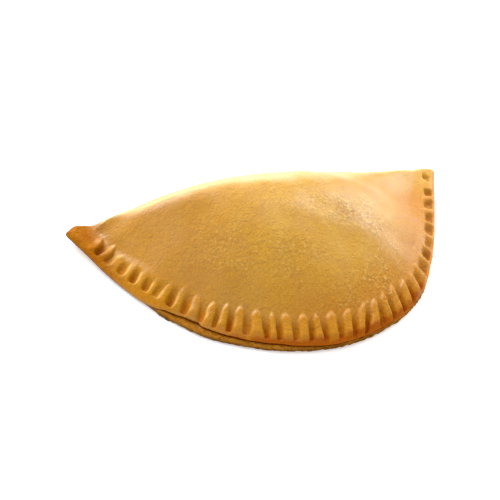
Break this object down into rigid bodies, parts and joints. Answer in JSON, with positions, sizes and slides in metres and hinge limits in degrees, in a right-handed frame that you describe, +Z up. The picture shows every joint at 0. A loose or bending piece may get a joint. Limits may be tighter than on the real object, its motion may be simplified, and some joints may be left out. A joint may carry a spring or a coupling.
{
  "type": "meat pie",
  "caption": "Half-moon hand pie: a round of pastry folded over its filling, domed, with a fork-crimped seal round its curved side.",
  "frame": {"origin": "on the resting face, under the middle of the pie's bounding box", "axes": "+X along the fold, towards the lower, longer end; -Y towards the crimped rim; +Z up"},
  "size_m": [0.153, 0.072, 0.028],
  "materials": {
    "pastry": "baked, egg-washed shortcrust pastry with a soft gloss"
  },
  "bodies": {
    "root": {"meat_pie": "pastry"}
  },
  "joints": []
}
